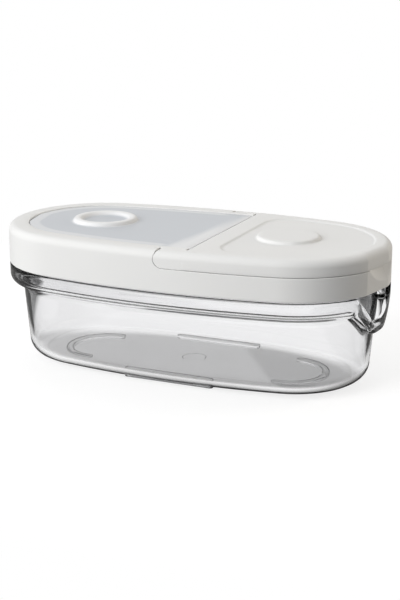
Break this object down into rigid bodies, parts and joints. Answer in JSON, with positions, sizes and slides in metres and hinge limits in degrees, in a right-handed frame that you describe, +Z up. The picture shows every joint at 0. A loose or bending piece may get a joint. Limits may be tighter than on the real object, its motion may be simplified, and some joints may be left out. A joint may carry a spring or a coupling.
{
  "type": "dry food dispenser box",
  "caption": "Low oblong clear dry-food box with a white lid, frosted lid window and a hinged pouring flap at one end.",
  "frame": {"origin": "on the resting plane, under the middle of the lid", "axes": "+X runs along the box towards the pouring end, +Y across it, +Z up through the lid"},
  "size_m": [0.18, 0.093, 0.0656],
  "materials": {
    "clear_tub": "gloss",
    "white_lid": "satin",
    "frosted_window": "satin",
    "seal": "matte"
  },
  "bodies": {
    "container": {"container": "clear_tub"},
    "lid": {"lid_frame": "white_lid", "window_panel": "frosted_window", "lid_seal": "seal"},
    "flap": {"pour_flap": "white_lid", "flap_seal": "seal"}
  },
  "joints": [
    {"name": "lid_lift", "type": "slide", "parent": "container", "child": "lid", "axis": [0, 0, 1], "range_m": [0, 0.08]},
    {"name": "flap_hinge", "type": "hinge", "parent": "lid", "child": "flap", "pos_m": [0.0054, 0, 0.0605], "axis": [0, -1, 0], "range_deg": [0, 90]}
  ]
}
